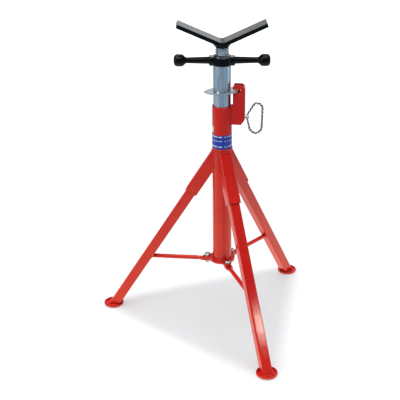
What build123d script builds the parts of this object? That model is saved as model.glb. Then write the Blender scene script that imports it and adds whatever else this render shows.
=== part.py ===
"""Pipe jack stand: a tripod with a sliding inner tube, a screw jack and a swivelling vee head.

Frame: millimetres, +Z up, origin on the floor below the axis of the tubes.
-X points along one leg, +X towards the channel that holds the locking pin.
"""
import math
import os

from build123d import *

# Whole stand
floor_z = 0.0
leg_count = 3
leg_tilt = 32.0          # degrees between a leg and the vertical
foot_circle_r = 299.7    # axis of the stand to the centre of a foot
first_leg_angle = 180.0  # azimuth of the left leg
leg_names = ["left", "front", "right"]
overrun = 1.0            # how far a cutting tool runs past what it cuts
weld_gap = 0.1           # air left at a coped joint, filled by the weld on the real thing

# Tubes
outer_tube_od = 48.3
outer_tube_wall = 2.6
outer_tube_top_z = 587.0
inner_tube_od = 42.4
inner_tube_wall = 2.6
inner_tube_rise = 99.0     # inner tube above the outer tube when fully lowered
inner_tube_end_gap = 6.0   # inner tube to the base plate when fully lowered
tube_edge_break = 0.6

# Base plate, bolts and braces
base_plate_t = 6.0
base_plate_top_z = 172.0
base_plate_r = 33.0
lobe_r = 10.5
bolt_circle_r = 38.5
lobe_fillet_r = 8.0
bolt_d = 8.0
bolt_hole_play = 0.5       # on the diameter
bolt_af = 13.0
bolt_head_h = 5.3
bolt_nut_h = 6.5
bolt_end_length = 2.5      # thread showing below the nut
thread_relief = 0.1        # radial, bolt in its nut
hex_chamfer = 0.7
washer_od = 16.0
washer_t = 1.6
brace_d = 11.0
brace_eye_w = 18.0
brace_eye_t = 5.0
brace_eye_edge_r = 2.0
brace_eye_flat = 15.0      # flattened length beyond the bolt
brace_neck = 12.0          # length over which the flat end becomes round
brace_drop = 5.0           # how much lower the brace ends at the leg

# Legs, sockets and feet
socket_side = 32.0
socket_wall = 3.0
socket_corner_r = 4.0
socket_bore_corner_r = 1.5
socket_length = 101.4      # along the leg, from the tube to the socket's mouth
leg_side = 25.4
leg_wall = 2.0
leg_corner_r = 3.5
leg_top_gap = 22.0         # along the leg, from the tube to the leg's hidden end
foot_r = 26.5
foot_t = 3.0
foot_rim_h = 7.0
foot_bend_r = 4.5
foot_lip_r = 1.2

# Locking pin and the channel that carries it
pin_drop = 27.0            # pin below the top of the outer tube
pin_tip_d = 10.0
pin_tip_chamfer = 1.2
pin_shank_d = 9.0
pin_play = 0.15            # radial
pin_parked_gap = 0.35      # parked tip to the inner tube
pin_travel_in = 3.2        # from parked to locked
pin_collar_d = 13.0
pin_collar_t = 3.0
pin_collar_x = 32.5
pin_end_length = 2.0       # beyond the hole for the ring
pin_end_chamfer = 0.8
hole_play = 0.3            # radial, pin tip in the inner tube
hole_pitch = 50.0
hole_count = 7
channel_w = 20.0
channel_t = 3.0
channel_x = 56.3           # outer face of the web
channel_bend_r = 4.5
channel_rise = 54.0        # above the top of the outer tube
channel_reach = 45.5       # below the top of the outer tube
channel_inner_x = 27.6     # free edge of the cheeks above the tube
channel_foot_x = 47.6      # where the sloping lower edge ends
channel_slope_h = 11.5     # height of the sloping lower edge
channel_corner_r = 10.0
channel_edge_r = 4.0
channel_foot_r = 3.0
spring_wire_d = 1.3
spring_mean_r = 5.6
spring_turns = 5
spring_end_gap = 0.1
ring_wire_d = 4.6
ring_play = 0.15           # radial, ring in the pin's cross hole
ring_web_gap = 0.3         # ring to the web when the pin is locked
# Corners of the ring: x outwards from the pin's cross hole, h above or below the pin
ring_root_h = 6.2          # where the ring leaves the pin, above and below it
ring_crown_x = 19.0
ring_crown_h = 37.5        # above
ring_shoulder_x = 37.0
ring_shoulder_h = 32.0     # above
ring_side_x = 35.0
ring_side_h = 32.0         # below
ring_base_x = 20.0
ring_base_h = 43.0         # below
ring_hip_x = 6.5
ring_hip_h = 33.0          # below
ring_crown_bend_r = 10.0
ring_shoulder_bend_r = 12.0
ring_side_bend_r = 15.0
ring_base_bend_r = 12.0
ring_hip_bend_r = 14.0
ring_root_bend_r = 5.0

# Lock plate
plate_t = 4.0
plate_length = 89.0
plate_width = 58.0
plate_tip_r = 4.0
plate_play = 0.55          # radial, round the inner tube
plate_rest_tilt = 5.0      # degrees, free end down
plate_seat_gap = 0.35      # lock plate over the lower edge of the notch
notch_rise = 35.95         # lower edge above the top of the outer tube
notch_h = 7.6
notch_depth_x = 47.0
notch_corner_r = 1.5

# Jack screw and handle nut
screw_d = 34.0
screw_length = 163.0
screw_pin_gap = 2.0        # bottom of the screw over the locked pin
screw_chamfer = 1.5
screw_play = 0.15          # radial, in the nut
stop_ring_d = 36.4
stop_ring_h = 5.0
stop_seat_d = 28.0
stop_seat_play = 0.05      # radial
thrust_washer_t = 2.0
thrust_washer_lip = 0.4    # radial, inside the edge of the inner tube
nut_d = 49.0
nut_h = 21.0
nut_bottom_bevel = 2.0
nut_top_bevel = 1.0
nut_edge_r = 1.0
nut_collar_r = 19.8
nut_collar_h = 3.0
nut_spigot_h = 10.0        # reach of the spigot into the inner tube
nut_spigot_play = 0.4      # radial
arm_rise = 10.8            # axis of the arms over the bottom of the hub
handle_turned = 9.0        # degrees about the axis, as stored
arm_root_d = 17.4
arm_tip_d = 14.2
arm_root_r = 1.4           # fillet of the arm on its boss
ball_circle_r = 100.3
ball_d = 29.5
ball_l = 29.0
ball_slope_l = 8.0         # length over which the neck opens out to the ball
ball_inner_edge_r = 9.0
ball_outer_edge_r = 9.0
ball_neck_r = 5.0
boss_d = 27.0
boss_reach_r = 31.0        # axis of the stand to the end of a boss
boss_edge_r = 3.1
boss_tube_gap = 1.0        # radial, cut clear of the inner tube below the bosses

# Vee head
vee_turned = 11.0          # degrees about the axis, as stored
vee_angle = 24.0           # slope of each arm
vee_arm = 114.0            # along the arm, from the middle to the tip
vee_w = 48.0
vee_t = 9.5
vee_rise = 14.8            # over the screw, to where the two upper faces would meet
vee_inner_r = 20.0
vee_edge_r = 1.2
vee_neck_top_r = 21.0
vee_neck_r = 15.5
vee_neck_h = 8.0
stem_d = 19.0
stem_l = 60.0
stem_play = 0.1            # radial
stem_seat_gap = 0.3        # neck over the top of the screw
stem_end_gap = 3.0
stem_chamfer = 1.5

# Worked out from the sizes above
outer_r = outer_tube_od / 2
outer_bore_r = outer_r - outer_tube_wall
inner_r = inner_tube_od / 2
inner_bore_r = inner_r - inner_tube_wall
base_plate_bottom_z = base_plate_top_z - base_plate_t
inner_tube_bottom_z = base_plate_top_z + inner_tube_end_gap
inner_tube_top_z = outer_tube_top_z + inner_tube_rise
pin_z = outer_tube_top_z - pin_drop
leg_sin = math.sin(math.radians(leg_tilt))
leg_cos = math.cos(math.radians(leg_tilt))
leg_tan = math.tan(math.radians(leg_tilt))
leg_angles = [first_leg_angle + 360 / leg_count * i for i in range(leg_count)]


def leg_r(z):
    """Distance of the leg line from the axis at height z."""
    return foot_circle_r - z * leg_tan


def radial_plane(angle):
    """Vertical plane through the axis: local x runs outwards at this azimuth, local y up."""
    a = math.radians(angle)
    return Plane(origin=(0, 0, 0), x_dir=(math.cos(a), math.sin(a), 0),
                 z_dir=(math.sin(a), -math.cos(a), 0))


def level_plane(angle, z):
    """Level plane at height z whose local x runs outwards at this azimuth."""
    a = math.radians(angle)
    return Plane(origin=(0, 0, z), x_dir=(math.cos(a), math.sin(a), 0), z_dir=(0, 0, 1))


def across_plane(angle, r, z, tilt):
    """Plane square to a line that leans outwards by tilt degrees; its normal points up the line."""
    a, t = math.radians(angle), math.radians(tilt)
    up = (-math.sin(t) * math.cos(a), -math.sin(t) * math.sin(a), math.cos(t))
    return Plane(origin=(r * math.cos(a), r * math.sin(a), z),
                 x_dir=(-math.sin(a), math.cos(a), 0), z_dir=up)


def save(piece, name):
    """Label a finished piece and write its STEP file."""
    piece.label = name
    export_step(piece, f"parts/{name}.step")


os.makedirs("parts", exist_ok=True)

# Outer tube, with the hole that guides the pin's tip
with BuildPart() as outer_tube:
    with BuildSketch(Plane.XY.offset(base_plate_top_z)):
        Circle(outer_r)
        Circle(outer_bore_r, mode=Mode.SUBTRACT)
    extrude(amount=outer_tube_top_z - base_plate_top_z)
    chamfer(outer_tube.edges().group_by(Axis.Z)[-1], length=tube_edge_break)
    with BuildSketch(Plane.YZ.offset(outer_bore_r - overrun)):
        with Locations((0, pin_z)):
            Circle(pin_tip_d / 2 + pin_play)
    extrude(amount=outer_tube_wall + 2 * overrun, mode=Mode.SUBTRACT)
save(outer_tube.part, "outer_tube")

# Three-lobed base plate
with BuildPart() as base_plate:
    with BuildSketch(Plane.XY.offset(base_plate_bottom_z)) as plate_outline:
        Circle(base_plate_r)
        with PolarLocations(bolt_circle_r / 2, leg_count, start_angle=first_leg_angle):
            Rectangle(bolt_circle_r, 2 * lobe_r)
        with PolarLocations(bolt_circle_r, leg_count, start_angle=first_leg_angle):
            Circle(lobe_r)
        lobe_roots = [v for v in plate_outline.vertices()
                      if abs(math.hypot(v.X, v.Y) - base_plate_r) < overrun
                      and abs(v.Y) > lobe_r / 2]
        fillet(lobe_roots, radius=lobe_fillet_r)
        with PolarLocations(bolt_circle_r, leg_count, start_angle=first_leg_angle):
            Circle((bolt_d + bolt_hole_play) / 2, mode=Mode.SUBTRACT)
    extrude(amount=base_plate_t)
save(base_plate.part, "base_plate")

# Bolts, washers and nuts that hold the braces to the plate
washer_top_z = base_plate_top_z + washer_t
brace_eye_bottom_z = base_plate_bottom_z - brace_eye_t
bolt_nut_bottom_z = brace_eye_bottom_z - bolt_nut_h
bolt_end_z = bolt_nut_bottom_z - bolt_end_length

with BuildPart() as brace_bolts:
    with BuildSketch(Plane.XY.offset(washer_top_z)):
        with PolarLocations(bolt_circle_r, leg_count, start_angle=first_leg_angle):
            RegularPolygon(bolt_af / 2, 6, major_radius=False)
    extrude(amount=bolt_head_h)
    chamfer(brace_bolts.edges().group_by(Axis.Z)[-1], length=hex_chamfer)
    with BuildSketch(Plane.XY.offset(bolt_end_z)):
        with PolarLocations(bolt_circle_r, leg_count, start_angle=first_leg_angle):
            Circle(bolt_d / 2)
    extrude(amount=washer_top_z - bolt_end_z)
    chamfer(brace_bolts.edges().group_by(Axis.Z)[0], length=hex_chamfer)
save(brace_bolts.part, "brace_bolts")

with BuildPart() as brace_washers:
    with BuildSketch(Plane.XY.offset(base_plate_top_z)):
        with PolarLocations(bolt_circle_r, leg_count, start_angle=first_leg_angle):
            Circle(washer_od / 2)
            Circle((bolt_d + bolt_hole_play) / 2, mode=Mode.SUBTRACT)
    extrude(amount=washer_t)
save(brace_washers.part, "brace_washers")

with BuildPart() as brace_nuts:
    with BuildSketch(Plane.XY.offset(bolt_nut_bottom_z)):
        with PolarLocations(bolt_circle_r, leg_count, start_angle=first_leg_angle):
            RegularPolygon(bolt_af / 2, 6, major_radius=False)
    extrude(amount=bolt_nut_h)
    chamfer(brace_nuts.edges().group_by(Axis.Z)[0], length=hex_chamfer)
    with BuildSketch(Plane.XY.offset(bolt_nut_bottom_z)):
        with PolarLocations(bolt_circle_r, leg_count, start_angle=first_leg_angle):
            Circle(bolt_d / 2 + thread_relief)
    extrude(amount=bolt_nut_h, mode=Mode.SUBTRACT)
save(brace_nuts.part, "brace_nuts")

# Sockets, legs, feet and braces, one of each at every leg
leg_tube_z = (foot_circle_r - outer_r) / leg_tan
socket_end_z = leg_tube_z - socket_length * leg_cos
socket_end_r = leg_r(socket_end_z)
leg_start_z = floor_z - leg_side
leg_length = (leg_tube_z - leg_start_z) / leg_cos - leg_top_gap
foot_floor_z = floor_z + foot_t
foot_wall_r = foot_r - foot_t
brace_z = base_plate_bottom_z - brace_eye_t / 2
brace_flat_r = bolt_circle_r + brace_eye_flat
brace_round_r = brace_flat_r + brace_neck
brace_end_z = brace_z - brace_drop
brace_run = leg_r(brace_end_z) - brace_round_r
brace_slope = math.degrees(math.atan2(brace_drop, brace_run))

for name, angle in zip(leg_names, leg_angles):
    with BuildPart() as leg_socket:
        with BuildSketch(across_plane(angle, socket_end_r, socket_end_z, leg_tilt)):
            bore = socket_side - 2 * socket_wall
            RectangleRounded(socket_side, socket_side, socket_corner_r)
            RectangleRounded(bore, bore, socket_bore_corner_r, mode=Mode.SUBTRACT)
        extrude(amount=socket_end_r / leg_sin)
        with BuildSketch(Plane.XY.offset(base_plate_top_z)):
            Circle(outer_r + weld_gap)
        extrude(amount=foot_circle_r / leg_tan, mode=Mode.SUBTRACT)
    save(leg_socket.part, f"leg_socket_{name}")

    # The leg runs through the floor of its foot and is cut level there.
    with BuildPart() as leg:
        with BuildSketch(across_plane(angle, leg_r(leg_start_z), leg_start_z, leg_tilt)):
            bore = leg_side - 2 * leg_wall
            RectangleRounded(leg_side, leg_side, leg_corner_r)
            RectangleRounded(bore, bore, leg_corner_r - leg_wall, mode=Mode.SUBTRACT)
        extrude(amount=leg_length)
        split(bisect_by=Plane.XY.offset(foot_floor_z), keep=Keep.TOP)
    save(leg.part, f"leg_{name}")

    # Dished foot: a flat disc with its rim turned up
    with BuildPart() as foot:
        with BuildSketch(radial_plane(angle)) as foot_profile:
            with BuildLine():
                Polyline((foot_circle_r, floor_z), (foot_circle_r + foot_r, floor_z),
                         (foot_circle_r + foot_r, foot_rim_h),
                         (foot_circle_r + foot_wall_r, foot_rim_h),
                         (foot_circle_r + foot_wall_r, foot_floor_z),
                         (foot_circle_r, foot_floor_z), close=True)
            make_face()
            outer_bend = foot_profile.vertices().sort_by_distance(
                (foot_circle_r + foot_r, floor_z))[0]
            fillet(outer_bend, radius=foot_bend_r)
            inner_bend = foot_profile.vertices().sort_by_distance(
                (foot_circle_r + foot_wall_r, foot_floor_z))[0]
            fillet(inner_bend, radius=foot_bend_r - foot_t)
            lip = foot_profile.vertices().sort_by(Axis.Y)[-2:]
            fillet(lip, radius=foot_lip_r)
        foot_x = foot_circle_r * math.cos(math.radians(angle))
        foot_y = foot_circle_r * math.sin(math.radians(angle))
        revolve(axis=Axis((foot_x, foot_y, 0), (0, 0, 1)))
    save(foot.part, f"foot_{name}")

    # Brace: a rod with a flattened eye under the plate, coped to the inner face of the leg
    with BuildPart() as brace:
        with BuildSketch(level_plane(angle, brace_eye_bottom_z)):
            with Locations((bolt_circle_r, 0)):
                Circle(brace_eye_w / 2)
            with Locations((bolt_circle_r + brace_eye_flat / 2, 0)):
                Rectangle(brace_eye_flat, brace_eye_w)
            with Locations((bolt_circle_r, 0)):
                Circle((bolt_d + bolt_hole_play) / 2, mode=Mode.SUBTRACT)
        extrude(amount=brace_eye_t)
        with BuildSketch(across_plane(angle, brace_flat_r, brace_z, 90)):
            RectangleRounded(brace_eye_w, brace_eye_t, brace_eye_edge_r)
        with BuildSketch(across_plane(angle, brace_round_r, brace_z, 90 - brace_slope)):
            Circle(brace_d / 2)
        loft()
        with BuildSketch(across_plane(angle, brace_round_r, brace_z, 90 - brace_slope)):
            Circle(brace_d / 2)
        extrude(amount=-math.hypot(brace_run, brace_drop))
        with BuildSketch(across_plane(angle, foot_circle_r, floor_z, leg_tilt)):
            coped = leg_side + 2 * weld_gap
            RectangleRounded(coped, coped, leg_corner_r)
        extrude(amount=foot_circle_r / leg_sin, mode=Mode.SUBTRACT)
    save(brace.part, f"brace_{name}")

# Channel: a bent U section, cut to its side outline and coped to the outer tube
channel_top_z = outer_tube_top_z + channel_rise
channel_bottom_z = outer_tube_top_z - channel_reach
channel_slope_z = channel_bottom_z + channel_slope_h
notch_bottom_z = outer_tube_top_z + notch_rise
notch_top_z = notch_bottom_z + notch_h
channel_web_x = channel_x - channel_t
channel_outline = [
    ((channel_inner_x, channel_top_z), channel_edge_r),
    ((channel_x, channel_top_z), channel_corner_r),
    ((channel_x, channel_slope_z), channel_foot_r),
    ((channel_foot_x, channel_bottom_z), channel_foot_r),
    ((outer_bore_r / 2, channel_bottom_z), 0),
    ((outer_bore_r / 2, outer_tube_top_z), 0),
    ((channel_inner_x, outer_tube_top_z), channel_foot_r),
    ((channel_inner_x, notch_bottom_z), notch_corner_r),
    ((notch_depth_x, notch_bottom_z), notch_corner_r),
    ((notch_depth_x, notch_top_z), notch_corner_r),
    ((channel_inner_x, notch_top_z), notch_corner_r),
]

with BuildPart() as pin_channel:
    with BuildSketch(Plane.XZ):
        with BuildLine():
            FilletPolyline(*[point for point, radius in channel_outline],
                           radius=[radius for point, radius in channel_outline], close=True)
        make_face()
    extrude(amount=channel_w / 2, both=True)
    with BuildSketch(Plane.XY.offset(channel_bottom_z)) as channel_section:
        with Locations((channel_x / 2, 0)):
            Rectangle(channel_x, channel_w)
        fillet(channel_section.vertices().group_by(Axis.X)[-1], radius=channel_bend_r)
        with Locations((channel_web_x / 2, 0)):
            Rectangle(channel_web_x, channel_w - 2 * channel_t, mode=Mode.SUBTRACT)
        inner_bends = [v for v in channel_section.vertices()
                       if abs(v.X - channel_web_x) < channel_t / 10]
        fillet(inner_bends, radius=channel_bend_r - channel_t)
    extrude(amount=channel_top_z - channel_bottom_z, mode=Mode.INTERSECT)
    with BuildSketch(Plane.XY.offset(base_plate_top_z)):
        Circle(outer_r + weld_gap)
    extrude(amount=outer_tube_top_z - base_plate_top_z, mode=Mode.SUBTRACT)
    with BuildSketch(Plane.YZ.offset(channel_web_x - overrun)):
        with Locations((0, pin_z)):
            Circle(pin_shank_d / 2 + pin_play)
    extrude(amount=channel_t + 2 * overrun, mode=Mode.SUBTRACT)
save(pin_channel.part, "pin_channel")

# Locking pin, parked with its tip just clear of the inner tube
pin_tip_x = inner_r + pin_parked_gap
ring_root_x = channel_x + ring_web_gap + ring_wire_d / 2 + pin_travel_in
pin_end_x = ring_root_x + ring_wire_d / 2 + pin_end_length
collar_back_x = pin_collar_x + pin_collar_t

with BuildPart() as locking_pin:
    with BuildSketch(Plane.XZ) as pin_profile:
        with BuildLine():
            Polyline((pin_tip_x, pin_z), (pin_tip_x, pin_z + pin_tip_d / 2),
                     (pin_collar_x, pin_z + pin_tip_d / 2),
                     (pin_collar_x, pin_z + pin_collar_d / 2),
                     (collar_back_x, pin_z + pin_collar_d / 2),
                     (collar_back_x, pin_z + pin_shank_d / 2),
                     (pin_end_x, pin_z + pin_shank_d / 2), (pin_end_x, pin_z), close=True)
        make_face()
        for point, length in [((pin_tip_x, pin_z + pin_tip_d / 2), pin_tip_chamfer),
                              ((pin_end_x, pin_z + pin_shank_d / 2), pin_end_chamfer)]:
            chamfer(pin_profile.vertices().sort_by_distance(point)[0], length=length)
    revolve(axis=Axis((0, 0, pin_z), (1, 0, 0)))
    with BuildSketch(Plane.XY.offset(pin_z - pin_shank_d)):
        with Locations((ring_root_x, 0)):
            Circle(ring_wire_d / 2 + ring_play)
    extrude(amount=2 * pin_shank_d, mode=Mode.SUBTRACT)
save(locking_pin.part, "locking_pin")

# Pull ring: one closed loop that passes through the pin's cross hole
ring_corners = [
    ((ring_root_x, pin_z + ring_root_h), ring_root_bend_r),
    ((ring_root_x + ring_crown_x, pin_z + ring_crown_h), ring_crown_bend_r),
    ((ring_root_x + ring_shoulder_x, pin_z + ring_shoulder_h), ring_shoulder_bend_r),
    ((ring_root_x + ring_side_x, pin_z - ring_side_h), ring_side_bend_r),
    ((ring_root_x + ring_base_x, pin_z - ring_base_h), ring_base_bend_r),
    ((ring_root_x + ring_hip_x, pin_z - ring_hip_h), ring_hip_bend_r),
    ((ring_root_x, pin_z - ring_root_h), ring_root_bend_r),
]

with BuildPart() as pull_ring:
    with BuildLine(Plane.XZ) as ring_path:
        FilletPolyline(*[point for point, radius in ring_corners],
                       radius=[radius for point, radius in ring_corners], close=True)
    ring_line = ring_path.wire()
    with BuildSketch(Plane(origin=ring_line @ 0, z_dir=ring_line % 0)):
        Circle(ring_wire_d / 2)
    sweep(path=ring_line)
ring_expected = math.pi * (ring_wire_d / 2) ** 2 * ring_line.length
print("pull ring volume over section times length:", pull_ring.part.volume / ring_expected)
save(pull_ring.part, "pull_ring")

# Pin spring, between the pin's collar and the web: quarter turns, each of two tangent arcs
spring_start_x = collar_back_x + spring_end_gap + spring_wire_d / 2
spring_end_x = channel_web_x - spring_end_gap - spring_wire_d / 2
spring_pitch = (spring_end_x - spring_start_x) / spring_turns


def spring_point(turns):
    """Point on the spring's centre line after so many turns."""
    a = 2 * math.pi * turns
    return Vector(spring_start_x + spring_pitch * turns, spring_mean_r * math.cos(a),
                  pin_z + spring_mean_r * math.sin(a))


def spring_heading(turns):
    """Unit tangent of the spring's centre line there."""
    a = 2 * math.pi * turns
    return Vector(spring_pitch / (2 * math.pi), -spring_mean_r * math.sin(a),
                  spring_mean_r * math.cos(a)).normalized()


def tangent_pair(start, start_heading, end, end_heading):
    """Two arcs that leave start and reach end with the given headings."""
    chord = end - start
    both = start_heading + end_heading
    a = 2 * (start_heading.dot(end_heading) - 1)
    b = -2 * chord.dot(both)
    c = chord.dot(chord)
    reach = (-b - math.sqrt(b * b - 4 * a * c)) / (2 * a)
    first_corner = start + start_heading * reach
    last_corner = end - end_heading * reach
    middle = (first_corner + last_corner) / 2
    TangentArc(start, middle, tangent=start_heading)
    TangentArc(middle, end, tangent=last_corner - first_corner)


with BuildPart() as pin_spring:
    with BuildLine() as spring_path:
        for quarter in range(4 * spring_turns):
            here, there = quarter / 4, (quarter + 1) / 4
            tangent_pair(spring_point(here), spring_heading(here),
                         spring_point(there), spring_heading(there))
    spring_line = spring_path.wire()
    with BuildSketch(Plane(origin=spring_line @ 0, z_dir=spring_line % 0)):
        Circle(spring_wire_d / 2)
    sweep(path=spring_line)
samples_per_turn = 24
samples = [spring_point(i / samples_per_turn) for i in range(spring_turns * samples_per_turn + 1)]
least = min((samples[i] - samples[j]).length for i in range(len(samples))
            for j in range(i + samples_per_turn // 2, len(samples)))
print("pin spring least gap to itself:", least - spring_wire_d)
save(pin_spring.part, "pin_spring")

# Lock plate: a pointed oval, tilted about the mouth of the notch until it grips the inner tube
plate_sin = math.sin(math.radians(plate_rest_tilt))
plate_cos = math.cos(math.radians(plate_rest_tilt))
plate_pivot_x = channel_inner_x + notch_corner_r
plate_pivot_z = notch_bottom_z + plate_seat_gap
plate_hole_x = (plate_pivot_x - plate_t / 2 * plate_sin) / plate_cos
plate_arc_r = (plate_length ** 2 + plate_width ** 2) / (4 * plate_width)
plate_arc_y = plate_arc_r - plate_width / 2
plate_plane = Plane(origin=(plate_pivot_x, 0, plate_pivot_z),
                    x_dir=(plate_cos, 0, plate_sin), z_dir=(-plate_sin, 0, plate_cos))

with BuildPart() as lock_plate:
    with BuildSketch(plate_plane) as plate_shape:
        with Locations((-plate_hole_x, plate_arc_y)):
            Circle(plate_arc_r)
        with Locations((-plate_hole_x, -plate_arc_y)):
            Circle(plate_arc_r, mode=Mode.INTERSECT)
        tips = plate_shape.vertices().sort_by(Axis.X)
        fillet([tips[0], tips[-1]], radius=plate_tip_r)
        with Locations((-plate_hole_x, 0)):
            Circle(inner_r + plate_play, mode=Mode.SUBTRACT)
    extrude(amount=plate_t)
save(lock_plate.part, "lock_plate")

# Inner tube, with the row of holes for the pin
with BuildPart() as inner_tube:
    with BuildSketch(Plane.XY.offset(inner_tube_bottom_z)):
        Circle(inner_r)
        Circle(inner_bore_r, mode=Mode.SUBTRACT)
    extrude(amount=inner_tube_top_z - inner_tube_bottom_z)
    chamfer(inner_tube.edges().group_by(Axis.Z)[0], length=tube_edge_break)
    with BuildSketch(Plane.YZ.offset(inner_bore_r - overrun * 2)):
        with Locations(*[(0, pin_z - hole_pitch * i) for i in range(hole_count)]):
            Circle(pin_tip_d / 2 + hole_play)
    extrude(amount=inner_tube_wall + 4 * overrun, mode=Mode.SUBTRACT)
save(inner_tube.part, "inner_tube")

# Thrust washer under the handle nut
nut_bottom_z = inner_tube_top_z + thrust_washer_t
spigot_r = inner_bore_r - nut_spigot_play

with BuildPart() as thrust_washer:
    with BuildSketch(Plane.XY.offset(inner_tube_top_z)):
        Circle(inner_r - thrust_washer_lip)
        Circle(spigot_r + nut_spigot_play / 2, mode=Mode.SUBTRACT)
    extrude(amount=thrust_washer_t)
save(thrust_washer.part, "thrust_washer")

# Handle nut: a bored hub with two bosses, each carrying an arm that ends in a ball
nut_r = nut_d / 2
nut_top_z = nut_bottom_z + nut_h
arm_z = nut_bottom_z + arm_rise
nut_bore_r = screw_d / 2 + screw_play
arm_start_r = nut_collar_r
ball_start_r = ball_circle_r - ball_l / 2
ball_end_r = ball_circle_r + ball_l / 2
arm_roundings = [
    ((boss_reach_r, arm_z + boss_d / 2), boss_edge_r),
    ((boss_reach_r, arm_z + arm_root_d / 2), arm_root_r),
    ((ball_start_r, arm_z + arm_tip_d / 2), ball_neck_r),
    ((ball_start_r + ball_slope_l, arm_z + ball_d / 2), ball_inner_edge_r),
    ((ball_end_r, arm_z + ball_d / 2), ball_outer_edge_r),
]

with BuildPart() as handle_nut:
    with BuildSketch(Plane.XZ) as hub_profile:
        with BuildLine():
            Polyline((nut_bore_r, inner_tube_top_z - nut_spigot_h),
                     (spigot_r, inner_tube_top_z - nut_spigot_h), (spigot_r, nut_bottom_z),
                     (nut_r - nut_bottom_bevel, nut_bottom_z),
                     (nut_r, nut_bottom_z + nut_bottom_bevel),
                     (nut_r, nut_top_z - nut_top_bevel),
                     (nut_r - nut_top_bevel, nut_top_z), (nut_collar_r, nut_top_z),
                     (nut_collar_r, nut_top_z + nut_collar_h),
                     (nut_bore_r, nut_top_z + nut_collar_h), close=True)
        make_face()
        lower_shoulder = hub_profile.vertices().sort_by_distance(
            (nut_r, nut_bottom_z + nut_bottom_bevel))[0]
        fillet(lower_shoulder, radius=nut_edge_r)
    revolve(axis=Axis.Z)
    for angle in (handle_turned, handle_turned + 180):
        with BuildSketch(radial_plane(angle)) as arm_profile:
            with BuildLine():
                Polyline((arm_start_r, arm_z), (arm_start_r, arm_z + boss_d / 2),
                         (boss_reach_r, arm_z + boss_d / 2),
                         (boss_reach_r, arm_z + arm_root_d / 2),
                         (ball_start_r, arm_z + arm_tip_d / 2),
                         (ball_start_r + ball_slope_l, arm_z + ball_d / 2),
                         (ball_end_r, arm_z + ball_d / 2), (ball_end_r, arm_z), close=True)
            make_face()
            for point, radius in arm_roundings:
                fillet(arm_profile.vertices().sort_by_distance(point)[0], radius=radius)
        arm_axis = (math.cos(math.radians(angle)), math.sin(math.radians(angle)), 0)
        revolve(axis=Axis((0, 0, arm_z), arm_axis))
    # The bosses are faced level with the top of the hub and cut clear of the tube below it.
    with BuildSketch(Plane.XY.offset(nut_top_z)):
        Circle(boss_reach_r)
        Circle(nut_collar_r, mode=Mode.SUBTRACT)
    extrude(amount=boss_d / 2, mode=Mode.SUBTRACT)
    with BuildSketch(Plane.XY.offset(nut_bottom_z)):
        Circle(inner_r + boss_tube_gap)
        Circle(spigot_r, mode=Mode.SUBTRACT)
    extrude(amount=-boss_d / 2, mode=Mode.SUBTRACT)
save(handle_nut.part, "handle_nut")

# Jack screw with the seat of its stop ring and the bore for the head's stem
screw_r = screw_d / 2
screw_bottom_z = pin_z + pin_tip_d / 2 + screw_pin_gap
screw_top_z = screw_bottom_z + screw_length
stop_ring_top_z = screw_bottom_z + stop_ring_h

with BuildPart() as lift_screw:
    with BuildSketch(Plane.XY.offset(stop_ring_top_z)):
        Circle(screw_r)
    extrude(amount=screw_top_z - stop_ring_top_z)
    chamfer(lift_screw.edges().group_by(Axis.Z)[-1], length=screw_chamfer)
    with BuildSketch(Plane.XY.offset(screw_bottom_z)):
        Circle(stop_seat_d / 2)
    extrude(amount=stop_ring_h)
    with BuildSketch(Plane.XY.offset(screw_top_z - stem_l - stem_end_gap)):
        Circle(stem_d / 2 + stem_play)
    extrude(amount=stem_l + stem_end_gap, mode=Mode.SUBTRACT)
save(lift_screw.part, "lift_screw")

with BuildPart() as screw_stop_ring:
    with BuildSketch(Plane.XY.offset(screw_bottom_z)):
        Circle(stop_ring_d / 2)
        Circle(stop_seat_d / 2 + stop_seat_play, mode=Mode.SUBTRACT)
    extrude(amount=stop_ring_h)
save(screw_stop_ring.part, "screw_stop_ring")

# Vee head: a bent bar on a conical neck whose stem turns in the screw
vee_sin = math.sin(math.radians(vee_angle))
vee_cos = math.cos(math.radians(vee_angle))
vee_valley_z = screw_top_z + vee_rise


def vee_points(depth):
    """Left tip, valley and right tip of the line that lies this deep below the upper faces."""
    tip_x = vee_arm * vee_cos + depth * vee_sin
    tip_z = vee_valley_z + vee_arm * vee_sin - depth * vee_cos
    return (-tip_x, tip_z), (0, vee_valley_z - depth / vee_cos), (tip_x, tip_z)


with BuildPart() as vee_plate:
    with BuildSketch(radial_plane(vee_turned)):
        with BuildLine():
            FilletPolyline(*vee_points(0), radius=vee_inner_r)
            FilletPolyline(*vee_points(vee_t), radius=vee_inner_r + vee_t)
            Line(vee_points(0)[0], vee_points(vee_t)[0])
            Line(vee_points(0)[-1], vee_points(vee_t)[-1])
        make_face()
    extrude(amount=vee_w / 2, both=True)
    fillet(vee_plate.edges(), radius=vee_edge_r)
save(vee_plate.part, "vee_plate")

neck_bottom_z = screw_top_z + stem_seat_gap
neck_top_z = neck_bottom_z + vee_neck_h

with BuildPart() as vee_stem:
    with BuildSketch(Plane.XY.offset(screw_top_z - stem_l)):
        Circle(stem_d / 2)
    extrude(amount=stem_l + stem_seat_gap)
    chamfer(vee_stem.edges().group_by(Axis.Z)[0], length=stem_chamfer)
    with BuildSketch(Plane.XY.offset(neck_bottom_z)):
        Circle(vee_neck_r)
    with BuildSketch(Plane.XY.offset(neck_top_z)):
        Circle(vee_neck_top_r)
    loft()
    with BuildSketch(Plane.XY.offset(neck_top_z)):
        Circle(vee_neck_top_r)
    extrude(amount=vee_neck_top_r)
    with BuildSketch(radial_plane(vee_turned)):
        with BuildLine():
            FilletPolyline(*vee_points(vee_t), radius=vee_inner_r + vee_t)
            Line(vee_points(vee_t)[0], vee_points(vee_t)[-1])
        make_face()
    extrude(amount=vee_w / 2, both=True, mode=Mode.SUBTRACT)
save(vee_stem.part, "vee_stem")
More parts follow.
